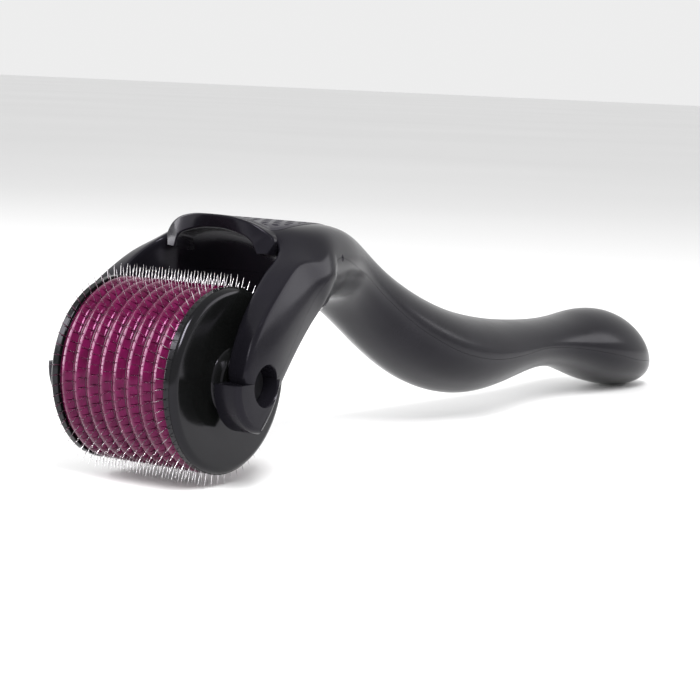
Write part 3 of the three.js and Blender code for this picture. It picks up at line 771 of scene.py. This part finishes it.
# The border without dimples, and how far they take to reach full depth inside it.
DIMPLE_BORDER = 0.5
DIMPLE_FADE = 0.3
# The grid that the pad's top is drawn on: its cell, its x range and its half width.
PAD_CELL = 0.13
PAD_LOW_X, PAD_HIGH_X = 7.8, 31.2
PAD_HALF_Y = 7.6
# Where the grid runs off the body, outside the outline.
PAD_OFF_BODY_Z = 16.0
# The soft edge: how high the top stands, from how far below the body it starts, and over what width.
PAD_CROWN = 0.12
PAD_SINK = 0.02
PAD_EDGE = 0.45
PAD_EDGE_CURVE = 0.6


def thumb_pad(body):
    """A slab that follows the body's top, with rows of dimples and a soft edge, cut to the outline."""
    mesh = bmesh.new()
    mesh.from_mesh(body.data)
    tree = BVHTree.FromBMesh(mesh)
    mesh.free()
    outline = pad_outline(0)
    rim = np.array(spline(outline, 1, closed=True))
    columns = int((PAD_HIGH_X - PAD_LOW_X) / PAD_CELL)
    rows = int(2 * PAD_HALF_Y / PAD_CELL)
    top, base = [], []
    for i in range(columns + 1):
        x = PAD_LOW_X + (PAD_HIGH_X - PAD_LOW_X) * i / columns
        for j in range(rows + 1):
            y = -PAD_HALF_Y + 2 * PAD_HALF_Y * j / rows
            hit = tree.ray_cast(Vector((x, y, FAR)), Vector((0, 0, -1)))[0]
            ground = hit.z if hit else PAD_OFF_BODY_Z
            edge = np.hypot(rim[:, 0] - x, rim[:, 1] - y).min()
            rise = PAD_CROWN * min(1.0, edge / PAD_EDGE) ** PAD_EDGE_CURVE - PAD_SINK
            inside = min(1.0, max(0.0, (edge - DIMPLE_BORDER) / DIMPLE_FADE))
            lift = rise - dimple(x - PAD_MIDDLE, y) * inside
            top.append((x, y, ground + lift))
            base.append((x, y, ground - PAD_THICKNESS))
    wide = rows + 1
    count = len(top)
    faces = []
    for i in range(columns):
        for j in range(rows):
            a = i * wide + j
            faces.append([a, a + wide, a + wide + 1, a + 1])
            faces.append([count + a, count + a + 1, count + a + wide + 1, count + a + wide])
    ring = [*range(wide)] + [i * wide + rows for i in range(1, columns + 1)]
    ring += [columns * wide + j for j in range(rows - 1, -1, -1)]
    ring += [i * wide for i in range(columns - 1, 0, -1)]
    for a, b in zip(ring, ring[1:] + ring[:1]):
        faces.append([a, b, b + count, a + count])
    slab = face_outwards(mesh_object("thumb_pad_dimpled", top + base, faces, [PAD_BLACK]))
    cutter = prism("pad_cut", outline, PAD_CUT_LEVEL, FAR / 2, "Z", [PAD_BLACK])
    combine(slab, cutter, "INTERSECT")
    discard(cutter)
    return smooth(slab, PAD_SHARP)


def dimple(x, y):
    """How deep the staggered field of round dimples is at a point."""
    row_height = DIMPLE_PITCH * math.sqrt(3) / 2
    row = round(x / row_height)
    deep = 0.0
    for near in (row - 1, row, row + 1):
        offset = DIMPLE_PITCH / 2 if near % 2 else 0.0
        column = round((y - offset) / DIMPLE_PITCH)
        aside = y - offset - column * DIMPLE_PITCH
        away = math.hypot(x - near * row_height, aside) / DIMPLE_RADIUS
        if away < 1:
            deep = max(deep, DIMPLE_DEPTH * (1 - away ** DIMPLE_FLATNESS))
    return deep


def pin_plug(side, name):
    """A round plug whose rim stands just clear of the shell, with a shallow dished middle."""
    rim = PIN_HEAD_RADIUS
    made = turned(name, [
        (0, 0.16), (1.2, 0.13), (1.75, 0.06), (1.86, 0.0), (1.93, 0.0), (2.0, 0.22), (2.1, 0.24),
        (2.16, -0.02), (2.22, -0.1), (rim - 0.06, -0.1), (rim, -0.02), (rim, PIN_HEAD_THICKNESS),
        (0, PIN_HEAD_THICKNESS),
    ], 96, [GLOSS], axis="Z")
    made.data.transform(pin_transform(side))
    return smooth(made, PLUG_SHARP)


# ---------- drum ----------

CAP_ROUND = 1.0
SLOT_BASE = 0.13
SLOT_TIP = 0.05
SLOT_REACH = 0.44
SLOT_DEPTH = 0.4
RING_CROWN = 0.38
JOINT_WIDTH = 0.14
NEEDLE_STEP = 2 * math.pi / NEEDLES_PER_ROW
# Lines drawn round a ring, as shares of its width: closer at the edges, for the rounded corners.
RING_LINES = (0.0, 0.06, 0.14, 0.25, 0.38, 0.5, 0.62, 0.75, 0.86, 0.94, 1.0)
LINE_CLEARANCE = 0.03
# Facets of the rim between one slot and the next.
RIM_FACETS = 3
RIM_CORNER = 0.05
RIM_CORNER_SHARE = 0.07
TURNED_SEGMENTS = 120
CAP_SEGMENTS = 180


def slotted_ring(name, y_low, y_high, slot_low, slot_high, profile, inner_radius, material):
    """A ring whose rim has short tapered slots cut in from one or both edges.

    slot_low and slot_high are the angles that the two edges' slots are turned by, or None.
    profile(t) is the rim's radius from the low edge (t 0) to the high edge (t 1).
    """
    width = y_high - y_low
    share = SLOT_REACH * (ROW_PITCH - JOINT_WIDTH) / width
    cuts = [c for c in RING_LINES if min(abs(c - share), abs(c - (1 - share))) > LINE_CLEARANCE]
    if slot_low is not None:
        cuts.append(share)
    if slot_high is not None:
        cuts.append(1 - share)
    cuts.sort()
    marks = []
    for k in range(NEEDLES_PER_ROW):
        for edge, turn in (("low", slot_low), ("high", slot_high)):
            if turn is not None:
                marks.append(((k + turn) * NEEDLE_STEP, edge))
    marks.sort()
    following = [angle for angle, _ in marks[1:]] + [marks[0][0] + 2 * math.pi]
    columns = []
    for (angle, edge), following_angle in zip(marks, following):
        columns.append((angle, edge, -1))
        columns.append((angle, edge, 1))
        for j in range(1, RIM_FACETS):
            columns.append((angle + (following_angle - angle) * j / RIM_FACETS, None, 0))

    def half_width(edge, t):
        """Half of a slot's width, as an angle, part of the way along it."""
        along = t / share if edge == "low" else (1 - t) / share
        return (SLOT_BASE + (SLOT_TIP - SLOT_BASE) * min(max(along, 0), 1)) / 2 / DRUM_RADIUS

    points, index = [], {}

    def vertex(c, r, level):
        """A point on the rim (level 0), on a slot's floor (1) or in the bore (2)."""
        key = (c % len(columns), r, level)
        if key not in index:
            angle, edge, sign = columns[key[0]]
            t = cuts[r]
            if edge:
                angle += sign * half_width(edge, t)
            radius = profile(t) if level == 0 else DRUM_RADIUS - SLOT_DEPTH
            if level == 2:
                radius = inner_radius
            points.append((radius * math.cos(angle), y_low + width * t, radius * math.sin(angle)))
            index[key] = len(points) - 1
        return index[key]

    def sunk(c, r):
        """Whether a cell of the rim is a slot's floor."""
        _, edge, sign = columns[c % len(columns)]
        if sign != -1:
            return False
        t = (cuts[r] + cuts[r + 1]) / 2
        return t < share if edge == "low" else t > 1 - share

    faces = []
    last = len(cuts) - 1
    for c in range(len(columns)):
        for r in range(last):
            level = 1 if sunk(c, r) else 0
            faces.append([vertex(c, r, level), vertex(c, r + 1, level),
                          vertex(c + 1, r + 1, level), vertex(c + 1, r, level)])
            if sunk(c, r) != sunk(c + 1, r):
                faces.append([vertex(c + 1, r, 0), vertex(c + 1, r + 1, 0),
                              vertex(c + 1, r + 1, 1), vertex(c + 1, r, 1)])
            if r + 1 < last and sunk(c, r) != sunk(c, r + 1):
                faces.append([vertex(c, r + 1, 0), vertex(c + 1, r + 1, 0),
                              vertex(c + 1, r + 1, 1), vertex(c, r + 1, 1)])
        for r, cell in ((0, 0), (last, last - 1)):
            level = 1 if sunk(c, cell) else 0
            rim = [vertex(c, r, level), vertex(c + 1, r, level)]
            if level == 0:
                if sunk(c + 1, cell):
                    rim.append(vertex(c + 1, r, 1))
                rim += [vertex(c + 1, r, 2), vertex(c, r, 2)]
                if sunk(c - 1, cell):
                    rim.append(vertex(c, r, 1))
            else:
                rim += [vertex(c + 1, r, 2), vertex(c, r, 2)]
            faces.append(rim)
        faces.append([vertex(c, 0, 2), vertex(c + 1, 0, 2), vertex(c + 1, last, 2), vertex(c, last, 2)])
    made = face_outwards(mesh_object(name, points, faces, [material]))
    return smooth(made, DRUM_SHARP)


def crowned(t):
    """A ring's rim: slightly crowned, with small rounded corners."""
    corner = RIM_CORNER * max(0.0, 1 - min(t, 1 - t) / RIM_CORNER_SHARE) ** 2
    return DRUM_RADIUS - RING_CROWN * (2 * t - 1) ** 2 - corner


def row_y(row):
    """A needle row's place along the axle."""
    return (row - (NEEDLE_ROWS - 1) / 2) * ROW_PITCH


def row_turn(row):
    """How far a needle row is turned, in needle steps: every second row is staggered."""
    return (row % 2) / 2


def magenta_ring(index):
    low = row_y(index) + JOINT_WIDTH / 2
    high = row_y(index + 1) - JOINT_WIDTH / 2
    return slotted_ring(f"ring_{index + 1}", low, high, row_turn(index), row_turn(index + 1),
                        crowned, RING_BORE, MAGENTA)


def end_cap(side, name):
    """A black end cap: slotted rim on the inner edge, rounded outer corner, a flat face and a hub."""
    row = NEEDLE_ROWS - 1 if side > 0 else 0
    inner = abs(row_y(row)) + JOINT_WIDTH / 2
    rim_end = END_CAP_FACE - CAP_ROUND

    def profile(t):
        return DRUM_RADIUS - 0.04 * max(0.0, 1 - t / 0.1)

    rim = slotted_ring(name, inner, rim_end, row_turn(row), None, profile, RING_BORE, CAP_BLACK)
    corner = []
    for degrees in range(0, 91, 9):
        a = math.radians(degrees)
        corner.append((DRUM_RADIUS - CAP_ROUND * (1 - math.cos(a)), rim_end + CAP_ROUND * math.sin(a)))
    face = turned("cap_face", [
        (JOURNAL_RADIUS + 0.12, rim_end + 0.01), (DRUM_RADIUS - 1.2, rim_end + 0.01),
        (DRUM_RADIUS - 0.02, rim_end + 0.005), *corner,
        (7.2, END_CAP_FACE - 0.03), (HUB_RADIUS + 0.6, END_CAP_FACE - 0.03),
        (HUB_RADIUS + 0.12, END_CAP_FACE + 0.05), (HUB_RADIUS, END_CAP_FACE + 0.25),
        (HUB_RADIUS, HUB_FACE - 0.2), (HUB_RADIUS - 0.2, HUB_FACE), (JOURNAL_RADIUS + 0.3, HUB_FACE),
        (JOURNAL_RADIUS + 0.12, HUB_FACE - 0.18),
    ], CAP_SEGMENTS, [CAP_BLACK])
    smooth(face, DRUM_SHARP)
    made = joined(rim, face)
    if side < 0:
        made.data.transform(Matrix.Scale(-1, 4, (0, 1, 0)))
        made.data.flip_normals()
    return made


def joined(first, second):
    """Both meshes in the first object."""
    work = bmesh.new()
    work.from_mesh(first.data)
    work.from_mesh(second.data)
    work.to_mesh(first.data)
    work.free()
    discard(second)
    return first


NEEDLE_SIDES = 8
NEEDLE_RADIUS = 0.058
# A needle from its root to its point: share of its radius, and height above the drum.
NEEDLE_PROFILE = [
    (0.92, -0.9), (1.0, 0.0), (0.96, 0.55), (0.72, 0.95), (0.36, 1.3), (0.05, NEEDLE_LENGTH),
]
CARRIER_SINK = 0.45
CARRIER_GAP = 0.015


def needle_row(row):
    """A row of slim round needles, each drawn to a point, in a thin dark carrier."""
    y = row_y(row)
    half = JOINT_WIDTH / 2 - CARRIER_GAP
    carrier_radius = DRUM_RADIUS - CARRIER_SINK
    points, faces = [], []
    for k in range(NEEDLES_PER_ROW):
        angle = (k + row_turn(row)) * NEEDLE_STEP
        out = np.array((math.cos(angle), 0, math.sin(angle)))
        side = np.array((-math.sin(angle), 0, math.cos(angle)))
        first = len(points)
        for scale, height in NEEDLE_PROFILE:
            middle = out * (DRUM_RADIUS + height) + np.array((0, y, 0))
            for s in range(NEEDLE_SIDES):
                turn = 2 * math.pi * s / NEEDLE_SIDES
                offset = side * math.cos(turn) + np.array((0, 1, 0)) * math.sin(turn)
                points.append(middle + offset * NEEDLE_RADIUS * scale)
        for ring in range(len(NEEDLE_PROFILE) - 1):
            for s in range(NEEDLE_SIDES):
                n = (s + 1) % NEEDLE_SIDES
                a = first + ring * NEEDLE_SIDES
                faces.append([a + s, a + n, a + NEEDLE_SIDES + n, a + NEEDLE_SIDES + s])
        faces.append([first + s for s in range(NEEDLE_SIDES)][::-1])
        end = first + (len(NEEDLE_PROFILE) - 1) * NEEDLE_SIDES
        faces.append([end + s for s in range(NEEDLE_SIDES)])
    needles = mesh_object(f"needle_row_{row + 1}", points, faces, [STEEL])
    smooth(face_outwards(needles), NEEDLE_SHARP)
    carrier = turned("carrier", [
        (RING_BORE, y - half), (carrier_radius, y - half),
        (carrier_radius, y + half), (RING_BORE, y + half),
    ], TURNED_SEGMENTS, [CARRIER])
    smooth(carrier, DRUM_SHARP)
    needles.data.materials.append(CARRIER)
    for polygon in carrier.data.polygons:
        polygon.material_index = 1
    return joined(needles, carrier)


# ---------- build ----------

body = smooth_body()
lip = lip_visor()
combine(body, lip, "UNION")
discard(lip)
shell_upper, shell_lower = make_shells(body)
pad = thumb_pad(body)
discard(body)
placed(shell_upper, "handle", "gloss_black", "upper_shell")
placed(shell_lower, "handle", "gloss_black", "lower_shell")
placed(pad, "handle", "soft_black", "thumb_pad")
for side, word in ((1, "left"), (-1, "right")):
    placed(pin_plug(side, f"pin_plug_{word}"), "handle", "gloss_black", f"joint_pin_{word}")
    placed(end_cap(side, f"drum_cap_{word}"), "drum", "gloss_black", f"end_cap_{word}")
for row in range(NEEDLE_ROWS):
    placed(needle_row(row), "drum", "needle_steel", f"needle_disc_{row + 1}")
for index in range(NEEDLE_ROWS - 1):
    placed(magenta_ring(index), "drum", "clear_magenta", f"spacer_{index + 1}")

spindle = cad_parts["drum_spindle"]
spindle.data.materials.clear()
spindle.data.materials.append(SPINDLE)

# ---------- floor, light and camera ----------

FLOOR_HALF = 6.0


def studio_floor():
    made = Finish("pale floor", Roughness=0.6)
    made.tones(made.noise(3, 2), (0.8, 0.8, 0.8), (0.83, 0.83, 0.83))
    corners = [(x * FLOOR_HALF, y * FLOOR_HALF, 0) for x, y in ((-1, -1), (1, -1), (1, 1), (-1, 1))]
    mesh_object("floor", corners, [[0, 1, 2, 3]], [made.material])


def soft_light(name, position, aim, width, height, power):
    """An area light, position and aim in millimetres from the axle."""
    data = bpy.data.lights.new(name, "AREA")
    data.shape = "RECTANGLE"
    data.size, data.size_y = width * MM, height * MM
    data.energy = power
    light = bpy.data.objects.new(name, data)
    start, end = Vector(position) * MM + AXLE, Vector(aim) * MM + AXLE
    light.location = start
    light.rotation_mode = "QUATERNION"
    light.rotation_quaternion = (end - start).to_track_quat("-Z", "Y")
    bpy.context.scene.collection.objects.link(light)


def studio_world(strength):
    world = bpy.data.worlds.new("studio")
    world.use_nodes = True
    background = next(n for n in world.node_tree.nodes if n.type == "BACKGROUND")
    background.inputs["Color"].default_value = (1, 1, 1, 1)
    background.inputs["Strength"].default_value = strength
    bpy.context.scene.world = world


# The camera's direction and place in millimetres from the axle, in a frame that REST_TILT turns
# about the axle to the way the roller lies.
CAMERA_AZIMUTH = math.radians(-56.57)
CAMERA_ELEVATION = math.radians(10.62)
CAMERA_DISTANCE = 260.0
CAMERA_SIDE = 21.44
CAMERA_RISE = 2.75
REST_TILT = math.radians(4.2)
LENS = 112.97
CLIP_NEAR, CLIP_FAR = 0.01, 50


def add_camera():
    sin_a, cos_a = math.sin(CAMERA_AZIMUTH), math.cos(CAMERA_AZIMUTH)
    sin_e, cos_e = math.sin(CAMERA_ELEVATION), math.cos(CAMERA_ELEVATION)
    back = Vector((sin_a * cos_e, -cos_a * cos_e, sin_e))
    right = Vector((cos_a, sin_a, 0))
    up = back.cross(right)
    rest = Matrix(((math.cos(REST_TILT), 0, -math.sin(REST_TILT)), (0, 1, 0),
                   (math.sin(REST_TILT), 0, math.cos(REST_TILT))))
    position = rest @ (back * CAMERA_DISTANCE + right * CAMERA_SIDE + up * CAMERA_RISE)
    axes = Matrix([rest @ v for v in (right, up, back)]).transposed()
    data = bpy.data.cameras.new("camera")
    data.lens = LENS
    data.clip_start, data.clip_end = CLIP_NEAR, CLIP_FAR
    camera = bpy.data.objects.new("camera", data)
    camera.matrix_world = Matrix.Translation(position * MM + AXLE) @ axes.to_4x4()
    bpy.context.scene.collection.objects.link(camera)
    bpy.context.scene.camera = camera


bpy.context.scene.view_settings.view_transform = "Standard"
studio_floor()
studio_world(0.85)
soft_light("key", (-170, -190, 300), (0, 0, 0), 90, 200, 2.2)
soft_light("left_panel", (-150, 320, 110), (0, 0, 0), 260, 360, 3.0)
soft_light("right_panel", (300, -250, 130), (30, 0, 0), 260, 160, 0.4)
add_camera()
